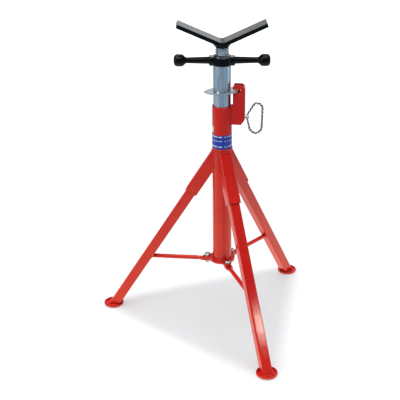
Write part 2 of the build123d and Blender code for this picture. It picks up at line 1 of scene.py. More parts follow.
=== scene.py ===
# %% [markdown]
# # A pipe jack stand
# A pipe jack stand holds the end of a long pipe at working height. A tripod carries an outer
# tube, an inner tube slides in it and is held by a pin and a lock plate, and a jack screw, raised
# by a nut with two arms, lifts the vee head that the pipe lies in.
#
# The construction is done in CAD. This lesson dresses it: it keeps the CAD solids whose shape is
# right, adds what CAD left out (threads, weld beads, a twisted rope, a label), and gives every
# surface its finish.

# %% Load the fixed frame
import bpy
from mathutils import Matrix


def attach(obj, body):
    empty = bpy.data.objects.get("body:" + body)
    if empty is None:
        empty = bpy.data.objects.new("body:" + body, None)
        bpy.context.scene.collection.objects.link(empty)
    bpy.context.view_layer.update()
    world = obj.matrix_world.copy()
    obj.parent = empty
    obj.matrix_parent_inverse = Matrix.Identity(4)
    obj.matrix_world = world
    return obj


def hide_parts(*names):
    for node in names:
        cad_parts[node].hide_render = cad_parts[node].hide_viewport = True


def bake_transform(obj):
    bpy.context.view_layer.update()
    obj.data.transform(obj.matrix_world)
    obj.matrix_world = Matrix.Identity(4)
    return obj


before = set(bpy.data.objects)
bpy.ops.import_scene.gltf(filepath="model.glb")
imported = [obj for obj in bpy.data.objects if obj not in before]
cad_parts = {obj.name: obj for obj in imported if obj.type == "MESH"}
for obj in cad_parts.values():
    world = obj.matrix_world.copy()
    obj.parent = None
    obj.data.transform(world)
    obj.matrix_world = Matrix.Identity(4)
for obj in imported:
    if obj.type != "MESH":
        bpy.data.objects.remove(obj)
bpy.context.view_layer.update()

# %% Modules used below
import math

import bmesh
import bpy
import numpy as np
from mathutils import Matrix, Vector

MM = 0.001
print("Blender", bpy.app.version_string)

# %% [markdown]
# ## Camera
# The photograph was taken from above eye level of the stand, a little to the left of the front
# leg, with a long lens. Guessing such a camera by eye rarely works. Here its place was solved
# from points whose real position is known, the rims of the feet and the edges of the tubes, so
# the numbers below are an answer and not a taste.

# %% Camera
film_width, focal_length = 36.0, 82.397
camera_place = (0.3295, -2.0871, 1.3046)
camera_heading, camera_tilt, camera_roll = 10.489, 65.328, -0.653
camera_data = bpy.data.cameras.new("photo_camera")
camera_data.sensor_fit = "HORIZONTAL"
camera_data.sensor_width = film_width
camera_data.lens = focal_length
camera_data.clip_end = 60.0
camera = bpy.data.objects.new("photo_camera", camera_data)
bpy.context.scene.collection.objects.link(camera)
camera.matrix_world = (Matrix.Translation(camera_place)
                       @ Matrix.Rotation(math.radians(camera_heading), 4, "Z")
                       @ Matrix.Rotation(math.radians(camera_tilt), 4, "X")
                       @ Matrix.Rotation(math.radians(camera_roll), 4, "Z"))
bpy.context.scene.camera = camera
print("camera at", [round(v, 3) for v in camera.matrix_world.translation])

# %% [markdown]
# ## Building finishes from nodes
# A finish is a small graph: patterns that are functions of the place on the stand, carried over
# to colours, roughness and height. Written out in full, one material takes a hundred lines. The
# helpers below make each step a single call, so that a finish reads like a recipe.


# %% Node helpers
def add(tree, kind, inputs=None, **settings):
    """New node of a kind in a tree, with its settings and inputs; an input may be a socket."""
    new = tree.nodes.new(kind)
    for key, value in settings.items():
        setattr(new, key, value)
    for key, value in (inputs or {}).items():
        if isinstance(value, bpy.types.NodeSocket):
            tree.links.new(value, new.inputs[key])
        else:
            new.inputs[key].default_value = value
    return new


def new_finish(name):
    """Empty material: its tree, its shader, and the Object coordinates to build on."""
    material = bpy.data.materials.new(name)
    material.use_nodes = True
    tree = material.node_tree
    shader = tree.nodes["Principled BSDF"]
    place = add(tree, "ShaderNodeTexCoord").outputs["Object"]
    return material, tree, shader, place


def noise(tree, place, scale, detail=2.0, rough=0.5, stretch=(1.0, 1.0, 1.0)):
    """Noise of so many cells a metre, each axis multiplied by stretch: a small number draws the
    grain out along that axis. Returns the factor from 0 to 1."""
    mapped = add(tree, "ShaderNodeMapping", {"Vector": place, "Scale": stretch}).outputs[0]
    return add(tree, "ShaderNodeTexNoise",
               {"Vector": mapped, "Scale": scale, "Detail": detail,
                "Roughness": rough}).outputs["Fac"]


def ranged(tree, value, low, high, to_low=0.0, to_high=1.0, kind="LINEAR"):
    """Carries value from low..high over to to_low..to_high, clamped at both ends."""
    return add(tree, "ShaderNodeMapRange",
               {"Value": value, "From Min": low, "From Max": high,
                "To Min": to_low, "To Max": to_high}, interpolation_type=kind).outputs["Result"]


def mixed(tree, factor, first, second):
    """Colour between first and second by factor."""
    node = add(tree, "ShaderNodeMix", {0: factor, 6: first, 7: second}, data_type="RGBA")
    return node.outputs[2]


def maths(tree, operation, first, second=0.0):
    """One arithmetic step on two numbers or sockets."""
    return add(tree, "ShaderNodeMath", {0: first, 1: second}, operation=operation).outputs[0]


def product(tree, first, *factors):
    """Product of numbers or sockets."""
    for factor in factors:
        first = maths(tree, "MULTIPLY", first, factor)
    return first


def distance(tree, place, shift=(0.0, 0.0, 0.0), stretch=(1.0, 1.0, 0.0)):
    """Distance of a place from the origin after stretch and shift; as they are given here, the
    distance from the stand's axis."""
    mapped = add(tree, "ShaderNodeMapping",
                 {"Vector": place, "Location": shift, "Scale": stretch}).outputs[0]
    return add(tree, "ShaderNodeVectorMath", {0: mapped}, operation="LENGTH").outputs["Value"]


def height_of(tree, place):
    """Height above the floor."""
    return add(tree, "ShaderNodeSeparateXYZ", {0: place}).outputs["Z"]


def edge_mask(tree, radius):
    """1 on sharp outer and inner edges, 0 on flats: how far a normal rounded over that radius
    turns away from the true one."""
    flat_dot, sharp_dot = 0.995, 0.86
    rounded = add(tree, "ShaderNodeBevel", {"Radius": radius}, samples=4).outputs[0]
    true = add(tree, "ShaderNodeNewGeometry").outputs["Normal"]
    dot = add(tree, "ShaderNodeVectorMath", {0: rounded, 1: true}, operation="DOT_PRODUCT")
    return ranged(tree, dot.outputs["Value"], flat_dot, sharp_dot)


def coat(tree, shader, colour, rough, height, strength, depth):
    """Gives the shader its colour and roughness, and a bump whose height from 0 to 1 stands for
    depth in metres."""
    bump = add(tree, "ShaderNodeBump", {"Height": height, "Strength": strength,
                                        "Distance": depth})
    for key, value in (("Base Color", colour), ("Roughness", rough), ("Normal", bump.outputs[0])):
        tree.links.new(value, shader.inputs[key])


print("node helpers ready")

# %% [markdown]
# ## Floor and light
# Product photographs of this kind are shot on a table of white acrylic that is lit from below,
# in a dark room. That is why the paint is pale wherever it mirrors the table and deep red where
# it mirrors the room, and why the blacks stay black. Metal and gloss paint show what they
# reflect, so the shape of the bright patch matters more than the strength of any lamp. Here the
# floor has two faces: to the camera it is white paper with a faint painted shadow between the
# feet, and to every other ray it is a glowing patch that dies away into a blue-grey room. The
# room is also white to the camera, so that a low view has no dark horizon.


# %% Floor finish
def pale_floor(name):
    """White to the camera, with real shadows and a soft three-cornered painted shadow between the
    feet, whose sides fade from shade_in to shade_out and whose corners reach shade_corner further;
    to other rays a glow that fades between glow_in and glow_out from the middle."""
    shade_in, shade_out, shade_corner, shade_light = 0.138, 0.208, 0.150, 0.645
    near, far, near_light, far_light = 0.5, 2.2, 0.66, 1.05
    glow_in, glow_out = 0.35, 1.35
    glow_shift, glow_stretch = (0.10, 0.0, 0.0), (0.66, 1.0, 0.0)
    glow_colour, room_colour = (1.22, 1.22, 1.12, 1.0), (0.20, 0.32, 0.45, 1.0)
    white, paper_grey = (1.0, 1.0, 1.0, 1.0), (0.36, 0.385, 0.40, 1.0)
    material, tree, shader, place = new_finish(name)
    tree.nodes.remove(shader)
    away = distance(tree, place)
    # painted shadow: a soft three-cornered patch between the feet, seen only by camera rays
    across = maths(tree, "SUBTRACT", away, shade_corner)
    for turn in (0.0, 2 * math.pi / 3, 4 * math.pi / 3):
        side = add(tree, "ShaderNodeVectorMath",
                   {0: place, 1: (math.cos(turn), math.sin(turn), 0.0)},
                   operation="DOT_PRODUCT").outputs["Value"]
        across = maths(tree, "MAXIMUM", across, side)
    painted_shadow = ranged(tree, across, shade_in, shade_out, shade_light, 1.0, "SMOOTHERSTEP")
    shine = product(tree, painted_shadow, ranged(tree, away, near, far, near_light, far_light))
    lit = add(tree, "ShaderNodeEmission", {"Color": white, "Strength": shine})
    paper = add(tree, "ShaderNodeBsdfDiffuse", {"Color": paper_grey})
    seen = add(tree, "ShaderNodeAddShader", {0: lit.outputs[0], 1: paper.outputs[0]})
    reach = distance(tree, place, glow_shift, glow_stretch)
    glow = ranged(tree, reach, glow_in, glow_out, 1.0, 0.0, "SMOOTHSTEP")
    felt = add(tree, "ShaderNodeEmission",
               {"Color": mixed(tree, glow, room_colour, glow_colour), "Strength": 1.0})
    ray = add(tree, "ShaderNodeLightPath").outputs["Is Camera Ray"]
    choice = add(tree, "ShaderNodeMixShader", {0: ray, 1: felt.outputs[0], 2: seen.outputs[0]})
    tree.links.new(choice.outputs[0], tree.nodes["Material Output"].inputs["Surface"])
    return material


# %% Floor
floor_half = 12.0
floor_mesh = bpy.data.meshes.new("studio_floor")
floor_mesh.from_pydata([(-floor_half, -floor_half, 0), (floor_half, -floor_half, 0),
                        (floor_half, floor_half, 0), (-floor_half, floor_half, 0)],
                       [], [(0, 1, 2, 3)])
floor = bpy.data.objects.new("studio_floor", floor_mesh)
bpy.context.scene.collection.objects.link(floor)
floor_mesh.materials.append(pale_floor("pale_floor"))
print("floor", 2 * floor_half, "m square")


# %% Soft boxes
def soft_box(name, place, aim, width, height, power, tint=(1.0, 1.0, 1.0)):
    """Rectangular area light at place, facing aim, with its size in metres and power in watts."""
    data = bpy.data.lights.new(name, "AREA")
    data.shape = "RECTANGLE"
    data.size, data.size_y = width, height
    data.energy = power
    data.color = tint
    light = bpy.data.objects.new(name, data)
    facing = (Vector(aim) - Vector(place)).to_track_quat("-Z", "Y").to_matrix().to_4x4()
    light.matrix_world = Matrix.Translation(place) @ facing
    light.visible_camera = False
    bpy.context.scene.collection.objects.link(light)
    return light


middle = (0.0, 0.0, 0.45)
glint = (0.1266, -0.2017, 0.0987)   # where the front leg mirrors the glint box to the camera
boxes = [
    soft_box("overhead_box", (-0.3, -0.2, 3.0), middle, 3.2, 3.2, 98.0),
    soft_box("left_box", (-2.4, -1.9, 1.7), middle, 1.0, 2.2, 29.0, (1.0, 0.95, 0.90)),
    soft_box("right_box", (2.5, 0.5, 0.8), middle, 0.8, 1.6, 9.0, (1.0, 0.96, 0.92)),
    soft_box("back_box", (0.0, 3.2, 0.9), middle, 5.5, 1.3, 26.0),
    soft_box("back_top_box", (0.0, 3.2, 2.4), middle, 5.5, 1.6, 8.0),
    soft_box("glint_box", (1.276, -1.053, 0.833), glint, 0.03, 0.08, 1.1,
             (0.80, 0.86, 1.0)),
]
print("soft boxes:", [box.name for box in boxes])

# %% Room
felt_colour, felt_strength = (0.85, 0.93, 1.0, 1.0), 0.13
seen_colour, seen_strength = (1.0, 1.0, 1.0, 1.0), 1.05
world = bpy.data.worlds.new("studio_room")
world.use_nodes = True
bpy.context.scene.world = world
room = world.node_tree
felt_room = room.nodes["Background"]
felt_room.inputs["Color"].default_value = felt_colour
felt_room.inputs["Strength"].default_value = felt_strength
seen_room = add(room, "ShaderNodeBackground", {"Color": seen_colour, "Strength": seen_strength})
camera_ray = add(room, "ShaderNodeLightPath").outputs["Is Camera Ray"]
either_room = add(room, "ShaderNodeMixShader",
                  {0: camera_ray, 1: felt_room.outputs[0], 2: seen_room.outputs[0]})
room.links.new(either_room.outputs[0], room.nodes["World Output"].inputs["Surface"])
bpy.context.scene.view_settings.view_transform = "Standard"
print("room light", felt_strength, "and to the camera", seen_strength)


# %% [markdown]
# ## Finishes
# Four finishes cover the stand: red powder coat on everything that is welded, bright zinc on the
# parts that slide or screw, gloss black on the casting and the vee head, and bare steel on the
# spring and the rope. Each could be one flat colour, but then it would look like plastic. Here
# each is a small tree of nodes on Object coordinates, which are the stand's own metres, so a
# grain of 2 mm is a noise scale of 500 on every part alike.

# %% [markdown]
# ### Red powder coat
# Powder is blown on dry and melts into a thick, glossy skin. It never lies quite flat: the skin
# has a ripple of 2 to 3 mm called orange peel, which breaks up every highlight, and it thins
# over sharp edges, where the steel below makes it look darker. The inner corners get painted
# shade, and a few chips and handling marks finish it.


# %% Red powder coat
def red_powder_coat(name):
    """Red skin with orange peel, a slow drift between crimson and orange, and thin edges."""
    crimson, orange = (0.63, 0.009, 0.012, 1.0), (0.71, 0.021, 0.012, 1.0)
    # thin_skin is the paint on the edges; the second colour is painted shade for the inner corners
    thin_skin, painted_corner_shade = (0.13, 0.012, 0.012, 1.0), (0.060, 0.006, 0.006, 1.0)
    chipped, shine_tint = (0.75, 0.45, 0.40, 1.0), (1.0, 0.93, 0.68, 1.0)
    edge_width, corner_reach, peel_depth = 1.2 * MM, 6.0 * MM, 0.12 * MM
    material, tree, shader, place = new_finish(name)
    drift = ranged(tree, noise(tree, place, 9.0, 3.0), 0.35, 0.65)
    body = mixed(tree, drift, crimson, orange)
    # thin on the edges, more in some places than in others
    patchy = ranged(tree, noise(tree, place, 120.0, 3.0), 0.42, 0.60, 0.35, 1.0)
    body = mixed(tree, product(tree, edge_mask(tree, edge_width), patchy, 0.75), body, thin_skin)
    # painted shade in the inner corners, darkest where the AO finds little open sky
    open_sky = add(tree, "ShaderNodeAmbientOcclusion", {"Distance": corner_reach},
                   samples=8).outputs["AO"]
    body = mixed(tree, ranged(tree, open_sky, 0.80, 0.45, 0.0, 0.65), body, painted_corner_shade)
    # small chips where the stand is handled
    specks = ranged(tree, noise(tree, place, 900.0, 2.0), 0.69, 0.72)
    handled = ranged(tree, noise(tree, place, 14.0), 0.55, 0.7)
    body = mixed(tree, product(tree, specks, handled, 0.6), body, chipped)
    # orange peel, with a finer grain on it
    peel = noise(tree, place, 480.0, 1.0)
    grain = noise(tree, place, 1600.0, 2.0)
    height = maths(tree, "ADD", peel, product(tree, grain, 0.15))
    rough = ranged(tree, noise(tree, place, 60.0, 3.0), 0.3, 0.7, 0.07, 0.13)
    coat(tree, shader, body, rough, height, 0.50, peel_depth)
    shader.inputs["Specular IOR Level"].default_value = 0.44
    shader.inputs["Specular Tint"].default_value = shine_tint
    return material


red = red_powder_coat("red_powder_coat")
print("made", red.name)

# %% [markdown]
# ### Bright zinc
# Electroplated zinc is passivated in a blue dip, which leaves a cool grey with a faint blue and
# straw shimmer. Under it the drawn tube keeps its long fine scratches. The streaks are noise
# that is drawn out along the tube, and they turn both the colour and the roughness.


# %% Bright zinc
def bright_zinc(name, stretch=(1.0, 1.0, 0.05), low=(0.55, 0.60, 0.65, 1.0),
                high=(0.70, 0.75, 0.79, 1.0), rough_low=0.20, rough_high=0.40):
    """Plated steel between the tones low and high, with streaks drawn out by stretch."""
    straw, rubbed = (0.72, 0.70, 0.58, 1.0), (0.86, 0.88, 0.90, 1.0)
    stained = (0.34, 0.37, 0.40, 1.0)
    edge_width, scratch_depth = 0.6 * MM, 0.03 * MM
    material, tree, shader, place = new_finish(name)
    # streaks and clouds turn the tone, and a slow shimmer the tint
    streak = noise(tree, place, 420.0, 4.0, 0.6, stretch)
    cloud = noise(tree, place, 55.0, 4.0, 0.6)
    tone = ranged(tree, maths(tree, "ADD", product(tree, streak, 0.55),
                              product(tree, cloud, 0.45)), 0.36, 0.64)
    body = mixed(tree, tone, low, high)
    shimmer = ranged(tree, noise(tree, place, 22.0, 2.0), 0.46, 0.66, 0.0, 0.35)
    body = mixed(tree, shimmer, body, straw)
    # edges are rubbed bright, and small spots stay dull
    body = mixed(tree, product(tree, edge_mask(tree, edge_width), 0.5), body, rubbed)
    spots = ranged(tree, noise(tree, place, 700.0, 2.0), 0.70, 0.76, 0.0, 0.5)
    body = mixed(tree, spots, body, stained)
    rough = ranged(tree, streak, 0.3, 0.7, rough_low, rough_high)
    coat(tree, shader, body, rough, streak, 0.25, scratch_depth)
    shader.inputs["Metallic"].default_value = 1.0
    return material


zinc_tube = bright_zinc("zinc_tube")
zinc_plate = bright_zinc("zinc_plate", (1.0, 0.2, 1.0), (0.50, 0.55, 0.60, 1.0),
                         (0.64, 0.69, 0.73, 1.0), 0.28, 0.45)
zinc_hardware = bright_zinc("zinc_hardware", (1.0, 1.0, 1.0), (0.28, 0.30, 0.32, 1.0),
                            (0.52, 0.54, 0.55, 1.0), 0.16, 0.34)
print("made", zinc_tube.name, zinc_plate.name, zinc_hardware.name)

# %% [markdown]
# ### Gloss black
# The vee head and the casting of the nut are dipped in black enamel. It is thin, so the edges
# wear to a soft grey first, and it gathers dust. The top of the nut is faced on a lathe after
# painting, which leaves bare metal there: the same tree paints it, above a height and within a
# distance of the axis.


# %% Gloss black
def gloss_black(name, faced_above=None, faced_within=None):
    """Black enamel with worn edges; above the height faced_above and nearer to the axis than
    faced_within it is bare metal."""
    clean_and_lit, dusty = (0.0020, 0.0022, 0.0026, 1.0), (0.0065, 0.0068, 0.0072, 1.0)
    worn_grey = (0.16, 0.16, 0.16, 1.0)
    faced_dark, faced_bright = (0.19, 0.20, 0.21, 1.0), (0.38, 0.39, 0.40, 1.0)
    edge_width, wave_depth = 0.9 * MM, 0.12 * MM
    material, tree, shader, place = new_finish(name)
    dust = ranged(tree, noise(tree, place, 130.0, 4.0, 0.6), 0.45, 0.75, 0.0, 0.5)
    body = mixed(tree, dust, clean_and_lit, dusty)
    patchy = ranged(tree, noise(tree, place, 260.0, 4.0), 0.50, 0.66)
    body = mixed(tree, product(tree, edge_mask(tree, edge_width), patchy, 0.7), body, worn_grey)
    if faced_above is not None:
        bare = product(tree, maths(tree, "LESS_THAN", distance(tree, place), faced_within),
                       maths(tree, "GREATER_THAN", height_of(tree, place), faced_above))
        lathe_marks = ranged(tree, noise(tree, place, 900.0, 3.0), 0.3, 0.7)
        body = mixed(tree, bare, body, mixed(tree, lathe_marks, faced_dark, faced_bright))
        tree.links.new(bare, shader.inputs["Metallic"])
    rough = ranged(tree, noise(tree, place, 90.0, 3.0), 0.3, 0.7, 0.10, 0.20)
    coat(tree, shader, body, rough, noise(tree, place, 260.0, 3.0), 0.25, wave_depth)
    shader.inputs["Specular IOR Level"].default_value = 0.19
    return material


black = gloss_black("gloss_black")
faced_top, faced_r = 708.9 * MM, 33.0 * MM
black_casting = gloss_black("black_casting", faced_above=faced_top, faced_within=faced_r)
print("made", black.name, black_casting.name)

# %% [markdown]
# ### Bare steel
# The spring is oil-tempered wire, dark with a dull gleam, and the stop ring is turned steel. The
# rope is galvanised; each strand has a painted highlight on its outside and painted shade, near
# black, in the valleys.


# %% Bare steel
def bare_steel(name, low, high, rough_low, rough_high, painted_light_attribute=None):
    """Steel between a dark and a bright tone, clouded and finely scratched. The last argument
    names an attribute of the mesh that is 0 where painted shade darkens the steel to near black
    and 1 where a painted highlight brightens it, so that it is only a quarter of a mirror there."""
    # near-black colour of the painted valley shade, and how much of a mirror the painted highlight
    # keeps
    painted_valley_shade, mirror_lit, scratch_depth = (0.004, 0.004, 0.005, 1.0), 0.25, 0.04 * MM
    material, tree, shader, place = new_finish(name)
    cloud = ranged(tree, noise(tree, place, 240.0, 4.0, 0.6), 0.32, 0.68)
    body = mixed(tree, cloud, low, high)
    if painted_light_attribute is None:
        shader.inputs["Metallic"].default_value = 1.0
    else:
        # the attribute is 1 on each strand's painted highlight and 0 in its painted valley shade
        clean_and_lit = add(tree, "ShaderNodeAttribute", attribute_name=painted_light_attribute).outputs["Fac"]
        body = mixed(tree, clean_and_lit, painted_valley_shade, body)
        tree.links.new(ranged(tree, clean_and_lit, 0.0, 1.0, 1.0, mirror_lit), shader.inputs["Metallic"])
    rough = ranged(tree, cloud, 0.0, 1.0, rough_high, rough_low)
    coat(tree, shader, body, rough, noise(tree, place, 1500.0, 2.0), 0.2, scratch_depth)
    return material


spring_steel = bare_steel("oiled_spring_steel", (0.20, 0.20, 0.21, 1.0), (0.45, 0.45, 0.46, 1.0),
                          0.25, 0.42)
turned_steel = bare_steel("turned_steel", (0.42, 0.43, 0.44, 1.0), (0.66, 0.67, 0.68, 1.0),
                          0.22, 0.36)
# the rope's painted highlight and shade are read from the mesh attribute tone
rope_steel = bare_steel("rope_steel", (0.52, 0.54, 0.56, 1.0), (0.88, 0.90, 0.92, 1.0),
                        0.20, 0.34, "tone")
print("made", spring_steel.name, turned_steel.name, rope_steel.name)

# %% [markdown]
# ### Which finish goes where
# Each CAD node gets one finish, from a table that reads like a parts list. The table is checked
# against the frame, so that no node is forgotten and none is named that isn't there.

# %% Finishes on the CAD nodes
legs = ("left", "front", "right")
finish_of = {
    red: ["outer_tube", "base_plate", "pin_channel"]
         + [f"{part}_{leg}" for part in ("leg_socket", "leg", "foot", "brace") for leg in legs],
    zinc_tube: ["inner_tube"],
    zinc_plate: ["lock_plate", "thrust_washer"],
    zinc_hardware: ["locking_pin", "brace_washers", "brace_bolts", "brace_nuts", "lift_screw"],
    black: ["vee_plate", "vee_stem"],
    black_casting: ["handle_nut"],
    spring_steel: ["pin_spring"],
    turned_steel: ["screw_stop_ring"],
    rope_steel: ["pull_ring"],
}
dressed = {name: finish for finish, names in finish_of.items() for name in names}
assert set(dressed) == set(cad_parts), "a node has no finish"
for name, finish in dressed.items():
    for material_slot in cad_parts[name].material_slots:
        material_slot.material = finish
print("dressed", len(dressed), "CAD nodes")

# %% [markdown]
# ## Making a surface
# Every new piece is a grid of points worked out by a formula: a shape as a function of two
# parameters. Points that fall together, at a pole or where a seam closes, are merged, and only
# then are the faces turned outwards, because a surface with an open seam has no outside.


# %% Surface helpers
def surface(name, grids, material, body, sharp_degrees=35.0, tones=None):
    """One closed piece from grids of points (rows, columns, 3): neighbouring points are joined by
    four-sided faces, coincident points are merged, and faces are turned outwards. tones, one
    number for each point, is kept on the mesh for the finish to read. A piece given no body is
    attached to none."""
    points, quads, count = [], [], 0
    for grid in grids:
        rows, columns = grid.shape[:2]
        ids = count + np.arange(rows * columns).reshape(rows, columns)
        quads.append(np.stack([ids[:-1, :-1], ids[:-1, 1:], ids[1:, 1:], ids[1:, :-1]],
                              axis=-1).reshape(-1, 4))
        points.append(grid.reshape(-1, 3))
        count += rows * columns
    mesh = bpy.data.meshes.new(name)
    mesh.from_pydata(np.concatenate(points).tolist(), [], np.concatenate(quads).tolist())
    if tones is not None:
        mesh.attributes.new("tone", "FLOAT", "POINT").data.foreach_set(
            "value", np.concatenate([tone.ravel() for tone in tones]).astype(np.float32))
    shape = bmesh.new()
    shape.from_mesh(mesh)
    bmesh.ops.remove_doubles(shape, verts=shape.verts, dist=1e-6)
    bmesh.ops.recalc_face_normals(shape, faces=shape.faces)
    shape.to_mesh(mesh)
    open_edges = sum(1 for edge in shape.edges if not edge.is_manifold)
    shape.free()
    mesh.shade_smooth()
    mesh.set_sharp_from_angle(angle=math.radians(sharp_degrees))
    mesh.materials.append(material)
    piece = bpy.data.objects.new(name, mesh)
    bpy.context.scene.collection.objects.link(piece)
    if body is not None:
        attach(piece, body)
    print(name, "faces", len(mesh.polygons), "open edges", open_edges)
    return piece


def full_turn(columns):
    """Angles of one turn in so many steps; the last repeats the first exactly, so that the seam
    closes."""
    angle = np.linspace(0.0, 2 * np.pi, columns + 1)
    angle[-1] = 0.0
    return angle


def unit(vectors):
    """Vectors of length one."""
    return vectors / np.linalg.norm(vectors, axis=-1, keepdims=True)


def square_to(vectors, direction):
    """Unit vectors of what is left of vectors square to a unit direction."""
    return unit(vectors - direction * np.sum(vectors * direction, axis=1, keepdims=True))


def section_round(centre, radius, spin, out, side):
    """Grid of sections: at each centre, points at the radius in each direction spin, counted
    from out towards side."""
    return centre[:, None] + radius[..., None] * (np.cos(spin)[None, :, None] * out[:, None]
                                                  + np.sin(spin)[None, :, None] * side[:, None])


def turned(r, z):
    """Grid of a lathe profile swept once round the axis: for each height in z, r has a row of
    radii, one for each step on the way round."""
    angle = full_turn(r.shape[1] - 1)
    return np.stack([r * np.cos(angle), r * np.sin(angle), np.array(z)[:, None] + 0 * angle],
                    axis=-1)


print("surface helpers ready")

# %% [markdown]
# ## Jack screw
# The screw is a 34 mm trapezoidal thread with 6 mm of rise a turn. CAD keeps it as a plain bar,
# because a true thread there would be slow and would jam in the nut by a hair. A bump texture
# would give the rings but not the stepped outline, so the thread is a real surface here: the
# radius is a function of angle and height, and it repeats when the height has climbed one pitch.

# %% Jack screw
pitch = 6.0 * MM
crest_r, eased_r, root_r = 16.9 * MM, 16.7 * MM, 14.2 * MM
chamfer_rise = 0.4 * MM
thread_bottom, thread_top = 572.0 * MM, 730.0 * MM
nut_top = 712.0 * MM
thread_columns = 96
knees = np.array([0.0, 0.06, 0.19, 0.23, 0.45, 0.49, 0.62, 0.68, 1.0])
knee_r = [root_r, root_r, eased_r, crest_r, crest_r, eased_r, root_r, root_r, root_r]


def thread_radius(angle, z):
    """Trapezoid wave between root and crest along z, shifted one pitch by a turn, and cut by a
    45 degree cone at each end, as a chamfer cuts a real thread."""
    phase = np.mod(z / pitch - angle / (2 * np.pi), 1.0)
    end = np.minimum(thread_top - z, z - thread_bottom) + root_r + chamfer_rise
    return np.minimum(np.interp(phase, knees, knee_r), end)


climb = np.linspace(0.0, 2 * np.pi, thread_columns + 1)
turns = np.arange(math.floor(thread_bottom / pitch) - 1, math.ceil(thread_top / pitch) + 1)
start = np.sort((turns[:, None] + knees[None, :-1]).ravel()) * pitch
height = np.clip(start[:, None] + pitch * climb / (2 * np.pi), thread_bottom, thread_top)
radius = thread_radius(climb, height)
thread = np.stack([radius * np.cos(climb), radius * np.sin(climb), height], axis=-1)
print("thread rows", thread.shape[0], "turns in view above the nut",
      round((thread_top - nut_top) / pitch, 1))

# %% Ends of the jack screw
bore_r, bore_bottom = 9.6 * MM, 667.0 * MM
seat_r, screw_bottom = 13.95 * MM, 567.0 * MM
end_chamfer = 0.5 * MM
mouth = thread_radius(climb, thread_top + 0 * climb)
heel = thread_radius(climb, thread_bottom + 0 * climb)
level = np.ones_like(climb)
top_face = turned(np.stack([mouth, (bore_r + end_chamfer) * level, bore_r * level,
                            bore_r * level, 0 * level]),
                  [thread_top, thread_top, thread_top - end_chamfer, bore_bottom, bore_bottom])
foot_face = turned(np.stack([heel, seat_r * level, seat_r * level,
                             (seat_r - end_chamfer) * level, 0 * level]),
                   [thread_bottom, thread_bottom, screw_bottom + end_chamfer, screw_bottom,
                    screw_bottom])
screw_zinc = bright_zinc("zinc_screw", (1.0, 1.0, 0.3), (0.45, 0.50, 0.55, 1.0),
                         (0.76, 0.80, 0.83, 1.0), 0.22, 0.38)
jack_screw = surface("jack_screw", [thread, top_face, foot_face], screw_zinc,
                     "lift_screw", 30.0)
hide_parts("lift_screw")

# %% [markdown]
# ## Pin spring
# A coil of oil-tempered wire pushes the locking pin in: one end bears on the pin's collar and the
# other on the web of the channel. A rigid coil would run into the collar when the pin is pulled,
# so this one is attached to neither body.

# %% Pin spring
spring_mean_r, spring_wire_r = 5.6 * MM, 0.65 * MM
spring_axis_z = 560.0 * MM
collar_x, web_x = 35.5 * MM, 53.3 * MM
spring_turns, spring_gap = 5, 0.1 * MM
steps_a_turn, wire_columns = 48, 14


def coil(turns, spin):
    """x(t) = first + rise t, with the centre on a circle of spring_mean_r in Y and Z; the wire's
    round section turns in the plane across the helix. spin is the angle round the section."""
    first = collar_x + spring_gap + spring_wire_r
    rise = (web_x - spring_gap - spring_wire_r - first) / spring_turns
    a = 2 * np.pi * turns
    out = np.stack([0 * a, np.cos(a), np.sin(a)], axis=-1)
    along_wire = np.stack([rise / (2 * np.pi) + 0 * a, -spring_mean_r * np.sin(a),
                           spring_mean_r * np.cos(a)], axis=-1)
    centre = np.array([first, 0.0, spring_axis_z]) + spring_mean_r * out
    centre[:, 0] += rise * turns
    wire = np.full(len(turns), spring_wire_r)
    wire[[0, -1]] = 0.0
    return section_round(centre, wire[:, None], spin, out, unit(np.cross(out, along_wire)))


steps = np.linspace(0.0, spring_turns, steps_a_turn * spring_turns + 1)
steps = np.concatenate([steps[:1], steps, steps[-1:]])
pin_coil = surface("pin_coil", [coil(steps, full_turn(wire_columns))], spring_steel, None,
                   50.0)
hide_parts("pin_spring")
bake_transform(pin_coil)

# %% [markdown]
# ## Pull ring
# The ring on the locking pin is a length of galvanised rope bent into a D and swaged shut inside
# the pin. A plain bent wire would miss its candy-stripe look, and a texture would slide round
# the bends. Here three strands are wound round a closed path: each strand's centre turns about
# the path as it goes along, and each strand has a lobed section of six wires that twists the
# other way. The rope is squeezed where it passes through the pin and opens out beyond it.

# %% Path of the pull ring
ring_root = np.array([62.1, 0.0, 560.0]) * MM
ring_corners = np.array([[0.0, 6.2], [19.0, 37.5], [37.0, 32.0], [35.0, -32.0], [20.0, -43.0],
                         [6.5, -33.0], [0.0, -6.2]]) * MM
ring_bends = np.array([5.0, 10.0, 12.0, 15.0, 12.0, 14.0, 5.0]) * MM
ring_stations, bend_steps = 560, 12
most_of_a_side = 0.48


